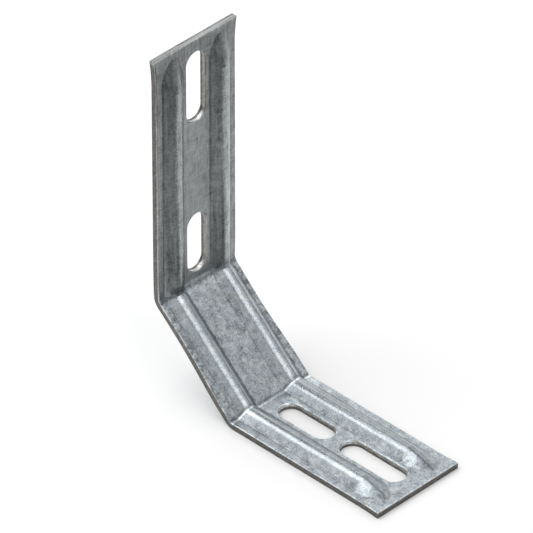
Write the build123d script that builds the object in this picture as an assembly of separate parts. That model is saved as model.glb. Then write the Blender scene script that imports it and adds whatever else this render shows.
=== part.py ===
from build123d import *
from math import cos, radians, sin, tan
import os

# Insulation fixing bracket: one strip of galvanised sheet, pressed with two ribs,
# punched with four slots and folded twice. All sizes are in millimetres.
#
# X runs across the strip, +Y along the foot to its free end, +Z up the upright.
# The origin is on the foot's underside, midway between the centres of its two slots.

# Sheet and legs: the legs are measured on the inner face, between the sharp creases
SHEET = 2.5
FOOT_LENGTH = 71.5
SLANT_LENGTH = 48.7
UPRIGHT_LENGTH = 102.5

# Folds: the upper one turns the rest of the way to an upright square to the foot
LOWER_FOLD_ANGLE = 42.5
LOWER_FOLD_INSIDE_RADIUS = 0.6
LOWER_FOLD_OUTSIDE_RADIUS = 6.0
LOWER_FOLD_HOLLOW_RADIUS = 1.0
UPPER_FOLD_CREST_RADIUS = 0.3

# Widths: pressing the ribs draws the long edges in, the most beside the slant
END_WIDTH = 40.0
FOOT_WIDTH = 39.1
SLANT_WIDTH = 37.4
UPRIGHT_WIDTH = 38.1
FLARE_LENGTH = 12.0

# Ribs, pressed towards the inside of the angle
RIB_SPACING = 22.8
RIB_HEIGHT = 3.4
RIB_CREST_RADIUS = 3.7
RIB_BASE_RADIUS = 0.8
RIB_FLANK_ANGLE = 45.0

# Ends of the ribs: the flanks ease to a gentler angle, and then run out to a narrow tip
RIB_END_LENGTH = 12.5
RIB_EASE_LENGTH = 6.0
RIB_EASED_ANGLE = 28.0
RIB_TIP_WIDTH = 2.0
RIB_TO_FREE_END = 2.6

# Slots on the centreline: the long one of each leg is the one by its free end
SLOT_WIDTH = 9.0
LONG_SLOT = 29.0
SHORT_SLOT = 24.5
FOOT_SLOT_TO_END = 21.4
FOOT_SLOT_PITCH = 32.2
UPRIGHT_SLOT_TO_END = 19.7
UPRIGHT_SLOT_PITCH = 66.3

# What the shear and the punch draw in along the edges of the inner face
SHEARED_EDGE_RADIUS = 0.3
PUNCHED_EDGE_BEVEL = 0.3

lower_turn = radians(LOWER_FOLD_ANGLE)
upper_turn = radians(90 - LOWER_FOLD_ANGLE)
flank = radians(RIB_FLANK_ANGLE)

# The straight flanks of a rib would meet in a point above its rounded crest
rib_apex = RIB_HEIGHT + RIB_CREST_RADIUS * (1 / cos(flank) - 1)
rib_half_width = rib_apex / tan(flank)

# From where the ribs of a leg start to run out to its free end
rib_end_to_free_end = RIB_TO_FREE_END + RIB_END_LENGTH

# The upper fold is bent about one axis, just clear of the crests of the ribs
upper_fold_radius = RIB_HEIGHT + UPPER_FOLD_CREST_RADIUS
upper_fold_setback = upper_fold_radius * tan(upper_turn / 2)

# Creases of the inner face, in the plane of symmetry
lower_crease = Vector(0, 0, 0)
upper_crease = Vector(0, -SLANT_LENGTH * cos(lower_turn), SLANT_LENGTH * sin(lower_turn))

# Each leg has a frame on its inner face: X along it, Y across, Z into the angle
slant_normal = Vector(0, sin(lower_turn), cos(lower_turn))
foot = Plane(origin=lower_crease, x_dir=(0, 1, 0), z_dir=(0, 0, 1))
slant = Plane(origin=upper_crease, x_dir=lower_crease - upper_crease, z_dir=slant_normal)
upright = Plane(origin=upper_crease, x_dir=(0, 0, 1), z_dir=(0, 1, 0))
legs = (foot, slant, upright)


def ribbed_line(angle, depth):
    """Line across the strip at a depth below its inner face, with flanks at an angle."""
    base = rib_half_width - depth * tan(angle / 2)
    apex = rib_half_width * tan(angle) - depth / cos(angle)
    corners = [(-END_WIDTH / 2, -depth)]
    for rib_line in (-RIB_SPACING / 2, RIB_SPACING / 2):
        corners += [(rib_line - base, -depth), (rib_line, apex), (rib_line + base, -depth)]
    corners += [(END_WIDTH / 2, -depth)]
    base_radius = RIB_BASE_RADIUS + depth
    return FilletPolyline(*corners, radius=[base_radius, RIB_CREST_RADIUS - depth, base_radius] * 2)


def ribbed_section(angle):
    """Cross-section of the strip, the full thickness of the sheet all along its ribs."""
    inner_line = ribbed_line(angle, 0)
    outer_line = ribbed_line(angle, SHEET)
    sides = Line(inner_line @ 0, outer_line @ 0) + Line(inner_line @ 1, outer_line @ 1)
    return make_face(inner_line + outer_line + sides)


def flat_section():
    """Cross-section of the strip past its ribs, with a corner for each of a ribbed one."""
    inner_line = [(-END_WIDTH / 2, 0)]
    for rib_line in (-RIB_SPACING / 2, RIB_SPACING / 2):
        inner_line += [(rib_line + RIB_TIP_WIDTH * at, 0) for at in (-0.5, -0.35, -0.2, 0.2, 0.35, 0.5)]
    inner_line += [(END_WIDTH / 2, 0)]
    outer_line = [(x, -SHEET) for x, y in reversed(inner_line)]
    return make_face(Polyline(*inner_line, *outer_line, close=True))


def ribbed_strip(section):
    """The section carried from the foot through both folds to the upright."""
    foot_start = foot.from_local_coords((FOOT_LENGTH - rib_end_to_free_end, 0, 0))
    bend_start = slant.from_local_coords((upper_fold_setback, 0, 0))
    bend_end = upright.from_local_coords((upper_fold_setback, 0, 0))
    upright_end = upright.from_local_coords((UPRIGHT_LENGTH - rib_end_to_free_end, 0, 0))
    path = Polyline(foot_start, lower_crease, bend_start)
    path += TangentArc(bend_start, bend_end, tangent=-slant.x_dir)
    path += Line(bend_end, upright_end)
    across = Plane(origin=foot_start, x_dir=(1, 0, 0), z_dir=-foot.x_dir)
    return sweep(across * section, path=path, transition=Transition.RIGHT)


def edges_in_plane(body, plane):
    """The edges of a body that lie in a plane."""
    ends_and_middle = (0, 0.5, 1)
    return body.edges().filter_by(
        lambda edge: all(abs(plane.to_local_coords(edge @ at).Z) < 1e-4 for at in ends_and_middle)
    )


def rounded_lower_fold(strip):
    """The strip with the mitre of its lower fold rounded inside and outside."""
    mitre = Plane(origin=lower_crease, z_dir=foot.x_dir + slant.x_dir)
    inside = edges_in_plane(strip, mitre).filter_by(lambda edge: edge.is_interior)
    strip = fillet(inside, LOWER_FOLD_INSIDE_RADIUS)
    strip = fillet(edges_in_plane(strip, mitre), LOWER_FOLD_HOLLOW_RADIUS)

    # The rounding outside takes off what lies past an arc that touches both outer faces
    outside = lower_crease - (slant_normal + foot.z_dir) * (SHEET / (1 + cos(lower_turn)))
    setback = LOWER_FOLD_OUTSIDE_RADIUS * tan(lower_turn / 2)
    on_foot = outside + foot.x_dir * setback
    on_slant = outside - slant.x_dir * setback
    past_arc = TangentArc(on_foot, on_slant, tangent=-foot.x_dir)
    past_arc += Polyline(on_slant, on_slant - slant_normal * SHEET, on_foot - foot.z_dir * SHEET, on_foot)
    return strip - extrude(make_face(past_arc), END_WIDTH, dir=(1, 0, 0), both=True)


def free_end(leg_length):
    """Free end of a leg: its ribs get lower, then narrower, and run out on a flat plate."""
    across = Plane(origin=(leg_length - rib_end_to_free_end, 0, 0), x_dir=(0, 1, 0), z_dir=(1, 0, 0))
    run_out = loft([
        across * ribbed_section(flank),
        across * Pos(0, 0, RIB_EASE_LENGTH) * ribbed_section(radians(RIB_EASED_ANGLE)),
        across * Pos(0, 0, RIB_END_LENGTH) * flat_section(),
    ])
    middle = leg_length - RIB_TO_FREE_END / 2
    return run_out + Pos(middle, 0, -SHEET / 2) * Box(RIB_TO_FREE_END, END_WIDTH, SHEET)


def beside_the_edges():
    """What is trimmed off along one long edge: it follows the widths, and flares to each end."""
    half = END_WIDTH / 2
    foot_side = Line((FOOT_WIDTH / 2, 0), (FOOT_WIDTH / 2, FOOT_LENGTH - FLARE_LENGTH))
    foot_side += TangentArc(foot_side @ 1, (half, FOOT_LENGTH), tangent=(0, 1))
    foot_side += Polyline((half, FOOT_LENGTH), (END_WIDTH, FOOT_LENGTH), (END_WIDTH, 0), (FOOT_WIDTH / 2, 0))
    beside_foot = extrude(make_face(foot_side), 2 * SHEET, both=True)

    top = upper_crease.Z + UPRIGHT_LENGTH
    below = (FOOT_WIDTH / 2, -2 * SHEET)
    flare = (UPRIGHT_WIDTH / 2, top - FLARE_LENGTH)
    narrowing = Spline(
        (FOOT_WIDTH / 2, SHEET),
        (SLANT_WIDTH / 2, upper_crease.Z / 2),
        (UPRIGHT_WIDTH / 2, upper_crease.Z + FLARE_LENGTH),
        tangents=[(0, 1), (0, 1)],
    )
    side = Line(below, narrowing @ 0) + narrowing + Line(narrowing @ 1, flare)
    side += TangentArc(flare, (half, top), tangent=(0, 1))
    side += Polyline((half, top), (END_WIDTH, top), (END_WIDTH, -2 * SHEET), below)
    front_view = Plane(origin=(0, 0, 0), x_dir=(1, 0, 0), z_dir=(0, -1, 0))
    beside_the_rest = extrude(front_view * make_face(side), SLANT_LENGTH + SHEET)
    return beside_foot + beside_the_rest


def punch(leg, place, length):
    """Cutter of one slot, with a bevelled mouth on the inner face."""
    slot = SlotOverall(length, SLOT_WIDTH)
    mouth = SlotOverall(length + 2 * PUNCHED_EDGE_BEVEL, SLOT_WIDTH + 2 * PUNCHED_EDGE_BEVEL)
    cutter = extrude(slot, 2 * SHEET, both=True)
    cutter += extrude(mouth, -PUNCHED_EDGE_BEVEL, taper=45)
    return leg * Pos(place, 0, 0) * cutter


def on_inner_side(edge):
    """Whether an edge is nearer to the inner face of the sheet than to its outer face."""
    places = [edge @ at for at in (0, 0.5, 1)]
    return all(leg.to_local_coords(place).Z > -SHEET / 2 for leg in legs for place in places)


def sheared_edges(body):
    """Edges of the inner face along which the sheet was cut through."""
    found = ShapeList()
    for face in body.faces():
        leg = min(legs, key=lambda plane: plane.to_local_coords(face.center()).Z)
        if abs(face.normal_at().dot(leg.z_dir)) < 0.1:
            found += face.edges().filter_by(on_inner_side)
    return found


bracket = rounded_lower_fold(ribbed_strip(ribbed_section(flank)))
bracket += foot * free_end(FOOT_LENGTH)
bracket += upright * free_end(UPRIGHT_LENGTH)
bracket -= beside_the_edges()
bracket -= mirror(beside_the_edges(), about=Plane.YZ)
bracket = fillet(sheared_edges(bracket), SHEARED_EDGE_RADIUS)

foot_slot = FOOT_LENGTH - FOOT_SLOT_TO_END
upright_slot = UPRIGHT_LENGTH - UPRIGHT_SLOT_TO_END
bracket -= punch(foot, foot_slot, LONG_SLOT)
bracket -= punch(foot, foot_slot - FOOT_SLOT_PITCH, SHORT_SLOT)
bracket -= punch(upright, upright_slot, LONG_SLOT)
bracket -= punch(upright, upright_slot - UPRIGHT_SLOT_PITCH, SHORT_SLOT)

# The frame of the part is on the underside of the foot, between its slots
middle_of_slots = foot_slot - FOOT_SLOT_PITCH / 2
bracket = Pos(0, -middle_of_slots, SHEET) * bracket

os.makedirs("parts", exist_ok=True)
export_step(bracket, "parts/bracket.step")
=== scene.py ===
"""Looks of a galvanised sheet bracket: zinc finish, pale studio floor, soft light from above."""
from math import cos, pi, radians, sin
from types import SimpleNamespace

import bpy
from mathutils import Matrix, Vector


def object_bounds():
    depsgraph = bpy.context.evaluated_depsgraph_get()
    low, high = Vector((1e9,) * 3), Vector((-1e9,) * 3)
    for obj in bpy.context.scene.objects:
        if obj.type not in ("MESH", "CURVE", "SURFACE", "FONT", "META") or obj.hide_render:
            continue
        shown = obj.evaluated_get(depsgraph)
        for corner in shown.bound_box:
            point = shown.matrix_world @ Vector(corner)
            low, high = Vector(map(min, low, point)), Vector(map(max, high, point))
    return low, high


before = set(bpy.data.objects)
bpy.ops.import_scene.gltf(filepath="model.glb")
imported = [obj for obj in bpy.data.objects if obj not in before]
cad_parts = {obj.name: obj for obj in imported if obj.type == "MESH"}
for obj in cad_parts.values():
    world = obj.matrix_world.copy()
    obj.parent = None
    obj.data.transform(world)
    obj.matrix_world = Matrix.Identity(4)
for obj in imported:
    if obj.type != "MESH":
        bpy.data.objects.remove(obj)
cad_low, cad_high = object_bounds()
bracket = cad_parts["bracket"]

# Sizes of the bracket, in metres, as its CAD model has them
SHEET = 0.0025
FOLD_ANGLE = radians(42.5)
FOOT_LENGTH = 0.0715
SLANT_LENGTH = 0.0487

# Creases of the sheet's inner face, the way up the slant between them, and how each leg faces
up_the_slant = Vector((0, -cos(FOLD_ANGLE), sin(FOLD_ANGLE)))
lower_crease = Vector((0, cad_high.y - FOOT_LENGTH, SHEET))
upper_crease = lower_crease + up_the_slant * SLANT_LENGTH
foot_normal = Vector((0, 0, 1))
slant_normal = Vector((0, sin(FOLD_ANGLE), cos(FOLD_ANGLE)))
upright_normal = Vector((0, 1, 0))

# The strip unfolded, in millimetres: ribs and edges from the centreline, and ends and slots along
# it from the lower crease, where the foot counts as less than nothing. A rib keeps its full section
# up to RIB_END from a free end. A slot is its middle and its length
MM = 1000
RIB_LINE = 11.4
RIB_HALF_WIDTH = 4.93
RIB_END = 15.1
HALF_WIDTH = 20.0
FREE_ENDS = (-71.5, 151.2)
SLOT_RADIUS = 4.5
SLOTS = ((-50.1, 29.0), (-17.9, 24.5), (65.2, 24.5), (131.5, 29.0))

# Colours of the coat and of the bare steel on the cut faces
WARM_ZINC = (0.385, 0.402, 0.400, 1)
BLUISH_ZINC = (0.366, 0.407, 0.440, 1)
BURNISHED_STEEL = (0.290, 0.285, 0.263, 1)
POLISHED_STEEL = (0.535, 0.535, 0.530, 1)
TORN_STEEL = (0.134, 0.130, 0.122, 1)

# How far each of these darkens the coat, as a share of its tone: painted shade on the whole
# upright, a duller free end of the upright, press marks, and painted shade in the creases
UPRIGHT_SHADE = 0.31
END_FILM = 0.22
PRESS_MARKS = 0.42
CREASE_SHADE = 0.6

# Roughness of the coat and of the cut faces, how much smoother the ribs are, and the depth of the
# coat's relief in metres
ROUGHNESS = 0.38
CUT_ROUGHNESS = 0.4
SMOOTHER_RIBS = 0.08
RELIEF = 0.00003

# Studio: grey of the floor, the glow that the camera and the metal see on it, level of the world,
# and grey of the card
FLOOR_GREY = 0.95
FLOOR_GLOW = 0.06
WORLD_LEVEL = 0.26
CARD_GREY = 0.22


class Nodes:
    """A shader node tree that is filled by calls, each of which gives back an output."""

    def __init__(self, tree):
        tree.nodes.clear()
        self.tree = tree

    def add(self, kind, inputs=None, output=0, **settings):
        node = self.tree.nodes.new(kind)
        for name, value in settings.items():
            setattr(node, name, value)
        for name, value in (inputs or {}).items():
            if isinstance(value, bpy.types.NodeSocket):
                self.tree.links.new(value, node.inputs[name])
            else:
                node.inputs[name].default_value = value
        return node.outputs[output] if len(node.outputs) else node

    def math(self, operation, a, b=0.0, c=0.0):
        return self.add("ShaderNodeMath", {0: a, 1: b, 2: c}, operation=operation)

    def vector(self, operation, a, b, output=0):
        return self.add("ShaderNodeVectorMath", {0: a, 1: b}, output=output, operation=operation)

    def dot(self, a, b):
        return self.vector("DOT_PRODUCT", a, b, output="Value")

    def choose(self, factor, a, b):
        """a where the factor is 0 and b where it is 1."""
        return self.add("ShaderNodeMix", {"Factor": factor, "A": a, "B": b})

    def ramp(self, value, low, high, to_low=0.0, to_high=1.0):
        """Smooth step of a value, from one level below low to another above high."""
        inputs = {"Value": value, "From Min": low, "From Max": high,
                  "To Min": to_low, "To Max": to_high}
        return self.add("ShaderNodeMapRange", inputs, interpolation_type="SMOOTHSTEP")

    def line(self, value, middle, half_width):
        """1 on a line where the value has a given size, fading to 0 on both sides of it."""
        off = self.math("ABSOLUTE", self.math("SUBTRACT", value, middle))
        return self.ramp(off, 0.0, half_width, 1.0, 0.0)

    def noise(self, vector, scale, detail=2.0, roughness=0.5, distortion=0.0):
        inputs = {"Vector": vector, "Scale": scale, "Detail": detail, "Roughness": roughness,
                  "Distortion": distortion}
        return self.add("ShaderNodeTexNoise", inputs)

    def stretched(self, strip, *steps):
        """The strip with its steps across, along and out of the sheet scaled, for a pattern."""
        return self.vector("MULTIPLY", strip, steps)

    def add_weighted(self, start, *terms):
        """Sum of noises about their mean: each term is an output and how far it swings."""
        total = start
        for value, weight in terms:
            total = self.math("MULTIPLY_ADD", self.math("SUBTRACT", value, 0.5), weight, total)
        return total

    def darken(self, value, mask, depth):
        """The value, less a share of it where the mask is 1."""
        return self.math("MULTIPLY", value, self.math("MULTIPLY_ADD", mask, -depth, 1.0))

    def tint(self, factor, a, b, blend="MIX"):
        """Colour a where the factor is 0, blended with colour b where it is 1."""
        inputs = {0: factor, 6: a, 7: b}
        return self.add("ShaderNodeMix", inputs, output=2, data_type="RGBA", blend_type=blend)

    def toned(self, colour, tone):
        """The colour times a tone, of which 1 leaves it as it is."""
        grey = self.add("ShaderNodeCombineColor", {"Red": tone, "Green": tone, "Blue": tone})
        return self.tint(1.0, colour, grey, blend="MULTIPLY")


def strip_coordinates():
    """Where a point lies on the unfolded strip, in millimetres, and how its surface faces."""
    group = bpy.data.node_groups.new("strip_coordinates", "ShaderNodeTree")
    group.interface.new_socket("Strip", in_out="OUTPUT", socket_type="NodeSocketVector")
    for name in ("Across", "Along", "Height", "Facing", "Past lower fold", "Past upper fold",
                 "Edge"):
        group.interface.new_socket(name, in_out="OUTPUT", socket_type="NodeSocketFloat")
    n = Nodes(group)
    place = n.add("ShaderNodeTexCoord", output="Object")
    normal = n.add("ShaderNodeTexCoord", output="Normal")

    # The plane that halves a fold's angle parts the two legs that meet in it
    from_lower = n.vector("SUBTRACT", place, lower_crease)
    from_upper = n.vector("SUBTRACT", place, upper_crease)
    lower_fold = n.dot(from_lower, (up_the_slant - Vector((0, 1, 0))).normalized() * MM)
    upper_fold = n.dot(from_upper, (up_the_slant + Vector((0, 0, 1))).normalized() * MM)
    past_lower = n.math("GREATER_THAN", lower_fold, 0.0)
    past_upper = n.math("GREATER_THAN", upper_fold, 0.0)

    def by_leg(on_foot, on_slant, on_upright):
        return n.choose(past_upper, n.choose(past_lower, on_foot, on_slant), on_upright)

    across = n.dot(place, (MM, 0, 0))
    along = by_leg(
        n.dot(from_lower, (0, -MM, 0)),
        n.dot(from_lower, up_the_slant * MM),
        n.math("ADD", n.dot(from_upper, (0, 0, MM)), SLANT_LENGTH * MM),
    )
    height = by_leg(
        n.dot(from_lower, foot_normal * MM),
        n.dot(from_lower, slant_normal * MM),
        n.dot(from_upper, upright_normal * MM),
    )
    facing = by_leg(
        n.dot(normal, foot_normal),
        n.dot(normal, slant_normal),
        n.dot(normal, upright_normal),
    )
    strip = n.add("ShaderNodeCombineXYZ", {"X": across, "Y": along, "Z": height})

    # Distance to the nearest edge: the strip's outline, and the four slots
    edge = n.math("SUBTRACT", HALF_WIDTH, n.math("ABSOLUTE", across))
    edge = n.math("MINIMUM", edge, n.math("SUBTRACT", along, FREE_ENDS[0]))
    edge = n.math("MINIMUM", edge, n.math("SUBTRACT", FREE_ENDS[1], along))
    for middle, length in SLOTS:
        off_middle = n.math("ABSOLUTE", n.math("SUBTRACT", along, middle))
        to_centre = length / 2 - SLOT_RADIUS
        past_centre = n.math("MAXIMUM", n.math("SUBTRACT", off_middle, to_centre), 0.0)
        squared = n.math("MULTIPLY", past_centre, past_centre)
        off_slot = n.math("SQRT", n.math("MULTIPLY_ADD", across, across, squared))
        edge = n.math("MINIMUM", edge, n.math("SUBTRACT", off_slot, SLOT_RADIUS))

    n.add("NodeGroupOutput", {
        "Strip": strip, "Across": across, "Along": along, "Height": height, "Facing": facing,
        "Past lower fold": lower_fold, "Past upper fold": upper_fold, "Edge": edge,
    })
    return group


def places_on_strip(n):
    """The strip coordinates of a point by name, and what follows from them."""
    group = n.tree.nodes.new("ShaderNodeGroup")
    group.node_tree = strip_coordinates()
    strip, across, along, height, facing, past_lower_fold, past_upper_fold, edge = group.outputs

    off_centreline = n.math("ABSOLUTE", across)
    on_foot = n.math("LESS_THAN", past_lower_fold, 0.0)
    on_upright = n.ramp(along, 49.0, 54.0)
    return SimpleNamespace(
        strip=strip, across=across, along=along, height=height, facing=facing,
        past_lower_fold=past_lower_fold, past_upper_fold=past_upper_fold, edge=edge,
        off_centreline=off_centreline,
        off_rib=n.math("ABSOLUTE", n.math("SUBTRACT", off_centreline, RIB_LINE)),
        to_free_end=n.math("MINIMUM", n.math("SUBTRACT", along, FREE_ENDS[0]),
                           n.math("SUBTRACT", FREE_ENDS[1], along)),
        high_on_rib=n.ramp(height, 0.8, 2.6),
        # 1 on a face of the sheet, 0 on a cut face, which stands square to its leg
        flatness=n.math("ABSOLUTE", facing),
        on_foot=on_foot,
        on_slant=n.math("SUBTRACT", n.math("SUBTRACT", 1.0, on_foot), on_upright),
        on_upright=on_upright,
    )


def coat_patterns(n, strip):
    """Patterns of the coat: broad clouds, patches of 1 to 4 mm, grain, and streaks along it."""
    crystals = n.add("ShaderNodeTexVoronoi", {"Vector": strip, "Scale": 0.7}, output=1)
    return SimpleNamespace(
        clouds=n.noise(strip, 0.12),
        patches=n.noise(strip, 0.28, detail=1.0, distortion=0.6),
        blotches=n.noise(strip, 0.5, distortion=1.0),
        mottle=n.noise(strip, 0.95, detail=1.0, distortion=1.5),
        grain=n.noise(strip, 1.9, detail=1.0),
        streaks=n.noise(n.stretched(strip, 1.0, 0.06, 1.0), 0.8, detail=3.0, roughness=0.6),
        fine_streaks=n.noise(n.stretched(strip, 1.0, 0.12, 1.0), 1.5, detail=1.0),
        chatter=n.noise(n.stretched(strip, 0.2, 1.0, 1.0), 0.9),
        crystals=n.add("ShaderNodeSeparateColor", {"Color": crystals}),
        smudges=n.ramp(n.noise(strip, 0.33, distortion=0.8), 0.56, 0.70, 0.5, 1.0),
        specks=n.ramp(n.noise(strip, 1.2, detail=1.0), 0.66, 0.78, 0.5, 1.0),
    )


def painted_crease_shade(n, at, coat):
    """Painted shade on the inner face: at the bases of the ribs, on the slant's side of the lower
    fold, and on the upright's side of the upper fold, where it is darkest at the foot of the ribs."""
    full_ribs = n.ramp(at.to_free_end, 10.0, RIB_END, 0.0, 0.75)
    crease_shade_lines = n.math("MULTIPLY", n.line(at.off_rib, RIB_HALF_WIDTH, 0.6), full_ribs)
    in_lower_fold = n.line(at.past_lower_fold, 0.6, 0.7)
    in_upper_fold = n.line(at.past_upper_fold, 1.6, 2.6)
    foot_of_ribs = n.math("MULTIPLY", in_upper_fold, n.ramp(at.height, 0.6, 1.8))
    for place, amount in ((in_lower_fold, 0.9), (in_upper_fold, 0.35), (foot_of_ribs, 1.15)):
        crease_shade_lines = n.math("MAXIMUM", crease_shade_lines, n.math("MULTIPLY", place, amount))
    crease_shade_lines = n.math("MULTIPLY", crease_shade_lines, n.math("GREATER_THAN", at.facing, 0.2))
    return n.math("MULTIPLY", crease_shade_lines, n.ramp(coat.streaks, 0.2, 0.6))


def painted_highlights_and_shade(n, at):
    """Painted highlights: a line along the lower fold and a band beside it on the foot, a band
    under the upper one, the crests and middles of the upright's ribs, and the rims of edges and
    slots.
    The crests of the foot's ribs get painted shade instead."""
    band_on_foot = n.math("MULTIPLY", n.ramp(at.past_lower_fold, -13.0, -1.0), at.on_foot)
    band_under_upper_fold = n.line(at.past_upper_fold, -2.2, 2.2)
    crest = n.math("MULTIPLY", n.ramp(at.height, 2.5, 3.3),
                   n.math("SUBTRACT", at.on_upright, at.on_foot))
    middle_of_rib = n.math("MULTIPLY", n.line(at.off_rib, 0.0, 0.9), at.on_upright)
    rim = n.ramp(at.edge, 0.25, 0.65, 1.0, 0.0)
    from_side = n.math("SUBTRACT", HALF_WIDTH, at.off_centreline)
    near_outline = n.math("LESS_THAN", n.math("MINIMUM", at.to_free_end, from_side), 2.0)
    arris = n.math("MULTIPLY", n.ramp(at.flatness, 0.6, 0.95, 1.0, 0.0), near_outline)

    highlight_and_shade = n.math("MULTIPLY", n.line(at.past_lower_fold, -0.5, 0.6), 1.3)
    for place, amount in ((band_on_foot, 0.28), (band_under_upper_fold, 0.2), (crest, 0.15),
                          (middle_of_rib, 0.15), (rim, 0.5), (arris, 1.0)):
        highlight_and_shade = n.math("MULTIPLY_ADD", place, amount, highlight_and_shade)
    return highlight_and_shade


def painted_flank_shade(n, at):
    """Painted shade and light on the upright's ribs: the flank of each that faces +X is darker low
    down and lighter higher up, and the other flank is lighter all along."""
    rib_line = n.math("MULTIPLY", n.math("SIGN", at.across), RIB_LINE)
    off_line = n.math("SUBTRACT", at.across, rib_line)
    raised = n.math("MULTIPLY", n.ramp(at.height, 0.1, 1.0), at.on_upright)
    shaded_flank = n.math("MULTIPLY", n.ramp(off_line, 0.2, 1.6), raised)
    lit_flank = n.math("MULTIPLY", n.ramp(off_line, -1.6, -0.2, 1.0, 0.0), raised)
    return n.choose(shaded_flank, n.math("MULTIPLY_ADD", lit_flank, 0.18, 1.0),
                    n.ramp(at.along, 60.0, 130.0, 0.55, 1.3))


def press_marks(n, at):
    """Dark marks of the press on the flanges of the slant."""
    marks = n.noise(n.stretched(at.strip, 0.6, 1.0, 1.0), 0.5, distortion=1.0)
    flanges = n.ramp(at.off_centreline, 16.0, 16.8)
    return n.math("MULTIPLY", n.ramp(marks, 0.46, 0.6),
                  n.math("MULTIPLY", flanges, at.on_slant))


def coat_tone(n, at, coat):
    """How light the zinc is, about 1: mottled on the foot and the slant, and drawn into streaks on
    the upright."""
    mottled = n.add_weighted(
        0.0, (coat.clouds, 0.5), (coat.patches, 0.9), (coat.blotches, 0.9), (coat.mottle, 0.9),
        (coat.grain, 1.2), (coat.crystals, 0.12), (coat.streaks, 0.3), (coat.smudges, -0.3),
        (coat.specks, -0.3))
    drawn = n.add_weighted(
        0.0, (coat.clouds, 0.8), (coat.patches, 0.5), (coat.blotches, 0.3), (coat.mottle, 0.4),
        (coat.grain, 0.8), (coat.streaks, 1.0), (coat.fine_streaks, 0.8), (coat.chatter, 0.6))

    # The web of the upright is calmer than the worked parts of the strip, and so are the ribs of
    # the foot and the slant, which the die polished
    web = n.ramp(at.off_centreline, 5.5, 7.0, 1.0, 0.0)
    below_end = n.ramp(at.along, 115.0, 130.0, 1.0, 0.0)
    calm_web = n.math("MULTIPLY", web, n.math("MULTIPLY", at.on_upright, below_end))
    polished_rib = n.math("MULTIPLY", at.high_on_rib, n.math("SUBTRACT", 1.0, at.on_upright))
    calm = n.math("ADD", n.math("MULTIPLY", calm_web, 0.2), n.math("MULTIPLY", polished_rib, 0.5))
    swing = n.math("SUBTRACT", 1.0, calm)
    tone = n.math("MULTIPLY_ADD", n.choose(at.on_upright, mottled, drawn), swing, 1.0)

    # Painted shade makes the upright darker than the rest, and the coat is duller still at its free
    # end
    uneven_along = n.math("ADD", at.along, n.math("MULTIPLY", coat.clouds, 40.0))
    tone = n.darken(tone, at.on_upright, UPRIGHT_SHADE)
    # Painted shade and light on the flanks of the upright's ribs
    tone = n.math("MULTIPLY", tone, painted_flank_shade(n, at))
    tone = n.darken(tone, n.ramp(uneven_along, 125.0, 175.0), END_FILM)
    tone = n.darken(tone, press_marks(n, at), PRESS_MARKS)
    # Painted shade in the creases and at the bases of the ribs
    tone = n.darken(tone, painted_crease_shade(n, at, coat), CREASE_SHADE)
    # Painted highlights, and painted shade on the foot's crests
    return n.math("MULTIPLY", tone, n.math("ADD", painted_highlights_and_shade(n, at), 1.0))


def cut_steel(n, at, coat):
    """Colour of the cut faces. Next to the inner face they are burnished, deeper in the slots than
    along the outline, and below that they are torn and dark."""
    in_slot = n.math("MULTIPLY", n.math("LESS_THAN", at.off_centreline, 6.0),
                     n.math("GREATER_THAN", at.to_free_end, 1.0))
    slot_end = n.math("MULTIPLY", n.ramp(at.off_centreline, 3.6, 4.3, 1.0, 0.0), in_slot)
    burnish_depth = n.math("MULTIPLY_ADD", in_slot, 0.9, 0.5)
    uneven_depth = n.math("MULTIPLY_ADD", n.math("SUBTRACT", coat.grain, 0.5), 0.9, burnish_depth)
    burnished = n.ramp(n.math("ADD", at.height, uneven_depth), -0.2, 0.2)
    rubbed = n.tint(slot_end, BURNISHED_STEEL, POLISHED_STEEL)
    score = n.noise(n.stretched(at.strip, 0.5, 0.5, 1.6), 1.1, detail=3.0, roughness=0.7)
    steel = n.toned(n.tint(burnished, TORN_STEEL, rubbed),
                    n.add_weighted(1.0, (score, 2.2), (coat.grain, 1.0)))

    # The shear drew the coat over the upright's free end, in lines along the edge
    lines = n.math("ADD", n.noise(n.stretched(at.strip, 0.06, 1.0, 1.3), 1.0),
                   n.math("MULTIPLY", coat.grain, 0.3))
    drawn_over = n.math("MULTIPLY", n.ramp(at.along, 149.5, 150.5),
                        n.ramp(lines, 0.5, 0.8, 0.2, 1.0))
    return n.tint(drawn_over, steel, WARM_ZINC)


def galvanised_zinc():
    """Zinc coat of the sheet, with bare steel where it was sheared and punched."""
    material = bpy.data.materials.new("galvanised_zinc")
    material.use_nodes = True
    n = Nodes(material.node_tree)
    at = places_on_strip(n)
    coat = coat_patterns(n, at.strip)

    # The darker blotches of the coat are the bluer ones, though hardly so on the upright
    blueness = n.darken(n.ramp(coat.blotches, 0.4, 0.75, 1.0, 0.0), at.on_upright, 0.8)
    zinc = n.toned(n.tint(blueness, WARM_ZINC, BLUISH_ZINC), coat_tone(n, at, coat))
    cut = n.ramp(at.flatness, 0.10, 0.30, 1.0, 0.0)

    roughness = n.math("MULTIPLY_ADD", at.high_on_rib, -SMOOTHER_RIBS, ROUGHNESS)
    roughness = n.add_weighted(
        roughness, (coat.mottle, 0.2), (coat.blotches, -0.15), (coat.clouds, 0.1))
    relief = n.add_weighted(0.0, (coat.grain, 0.8), (coat.mottle, 1.0), (coat.blotches, 0.8))
    surface = n.add("ShaderNodeBsdfPrincipled", {
        "Base Color": n.tint(cut, zinc, cut_steel(n, at, coat)),
        "Metallic": 1.0,
        "Roughness": n.choose(cut, roughness, CUT_ROUGHNESS),
        "Normal": n.add("ShaderNodeBump", {"Strength": 1.0, "Distance": RELIEF, "Height": relief}),
    })
    n.add("ShaderNodeOutputMaterial", {"Surface": surface})
    return material


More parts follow.
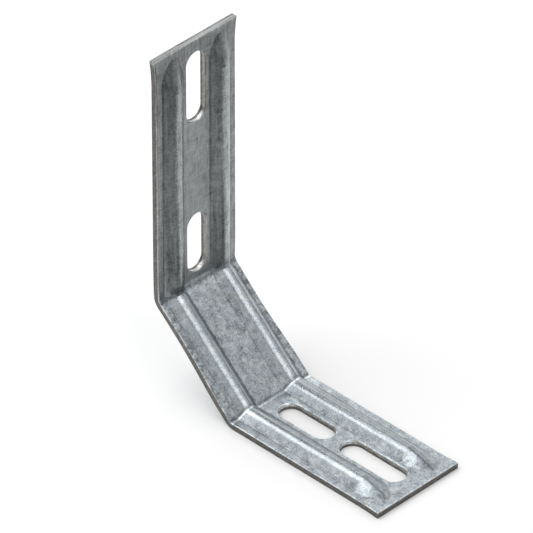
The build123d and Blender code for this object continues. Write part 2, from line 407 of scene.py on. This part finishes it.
def matt_card():
    """Plain matt dark grey."""
    material = bpy.data.materials.new("dark_reflection_card")
    material.use_nodes = True
    n = Nodes(material.node_tree)
    surface = n.add("ShaderNodeBsdfDiffuse", {"Color": (CARD_GREY, CARD_GREY, CARD_GREY, 1)})
    n.add("ShaderNodeOutputMaterial", {"Surface": surface})
    return material


def pale_floor():
    """Matt near-white floor, which the camera and the metal see a little whiter than it is lit."""
    material = bpy.data.materials.new("pale_floor")
    material.use_nodes = True
    n = Nodes(material.node_tree)
    ray = n.tree.nodes.new("ShaderNodeLightPath").outputs
    reflected = n.math("MAXIMUM", ray["Is Glossy Ray"], ray["Is Transmission Ray"])
    seen = n.math("MAXIMUM", ray["Is Camera Ray"], reflected)
    lit = n.add("ShaderNodeBsdfDiffuse", {"Color": (FLOOR_GREY, FLOOR_GREY, FLOOR_GREY, 1)})
    glow = n.add("ShaderNodeEmission", {"Strength": n.math("MULTIPLY", seen, FLOOR_GLOW)})
    surface = n.add("ShaderNodeAddShader", {0: lit, 1: glow})
    n.add("ShaderNodeOutputMaterial", {"Surface": surface})
    return material


def sheet_on_floor(name, width, length, place, turn, material):
    bpy.ops.mesh.primitive_plane_add(size=1.0, location=place, rotation=(0, 0, turn))
    sheet = bpy.context.object
    sheet.name = name
    sheet.scale = (width, length, 1)
    sheet.data.materials.append(material)
    return sheet


def softbox(name, place, width, length, radiance, facing=(0, 0, 0)):
    """Rectangular soft lamp facing a point; its width stays level, and no camera sees it."""
    lamp = bpy.data.lights.new(name, "AREA")
    lamp.shape = "RECTANGLE"
    lamp.size = width
    lamp.size_y = length
    lamp.energy = radiance * pi * width * length
    box = bpy.data.objects.new(name, lamp)
    box.location = place
    box.rotation_euler = (Vector(facing) - Vector(place)).to_track_quat("-Z", "Y").to_euler()
    box.visible_camera = False
    bpy.context.scene.collection.objects.link(box)


def studio():
    """Pale floor, dim white world, six soft lamps and a dark card."""
    sheet_on_floor("studio_floor", width=8.0, length=8.0, place=(0, 0, cad_low.z), turn=0,
                   material=pale_floor())

    world = bpy.data.worlds.new("dim_white")
    bpy.context.scene.world = world
    world.use_nodes = True
    n = Nodes(world.node_tree)
    background = n.add("ShaderNodeBackground", {"Color": (1, 1, 1, 1), "Strength": WORLD_LEVEL})
    n.add("ShaderNodeOutputWorld", {"Surface": background})

    softbox("overhead_softbox", (0.28, -0.5, 1.0), width=0.9, length=0.75, radiance=2.86,
            facing=(0.28, -0.5, 0))
    softbox("front_softbox", (0.06, 0.9, 1.0), width=1.2, length=0.45, radiance=2.33)
    softbox("left_softbox", (-0.95, 0, 0.95), width=2.4, length=0.7, radiance=0.82)
    softbox("right_softbox", (1.05, 0.45, 0.55), width=1.2, length=0.6, radiance=0.77)
    softbox("rear_softbox", (0.15, -0.9, 0.85), width=2.8, length=0.6, radiance=1.04)

    # Low panel that the shaded flanks of the ribs on the slant and the foot reflect
    softbox("low_panel", (-1.2, -0.6, 0.25), width=2.4, length=0.5, radiance=1.0)

    # Dark card on the floor in front of the object, just outside the photograph's frame. Only the
    # metal reflects it, as a painted dark reflection on the upright and the flanks of its ribs
    card = sheet_on_floor("dark_reflection_card", width=0.54, length=0.9,
                          place=(0.235, 0.232, cad_low.z + 0.0005), turn=radians(44.7),
                          material=matt_card())
    card.visible_camera = card.visible_diffuse = card.visible_shadow = False


def camera_at_photo_angle():
    """The photograph's view, from a long way off with a long lens."""
    azimuth, elevation, distance = radians(45.317), radians(36.575), 2.8455
    target = Vector((0.00932, -0.02669, 0.06878))
    back = Vector((sin(azimuth) * cos(elevation), cos(azimuth) * cos(elevation), sin(elevation)))
    lens = bpy.data.cameras.new("long_lens")
    lens.lens = 559.54
    lens.clip_start, lens.clip_end = 0.1, 20.0
    camera = bpy.data.objects.new("long_lens", lens)
    camera.location = target + back * distance
    camera.rotation_euler = (-back).to_track_quat("-Z", "Y").to_euler()
    bpy.context.scene.collection.objects.link(camera)
    bpy.context.scene.camera = camera


bracket.data.materials.clear()
bracket.data.materials.append(galvanised_zinc())
studio()
camera_at_photo_angle()
bpy.context.scene.view_settings.view_transform = "Standard"
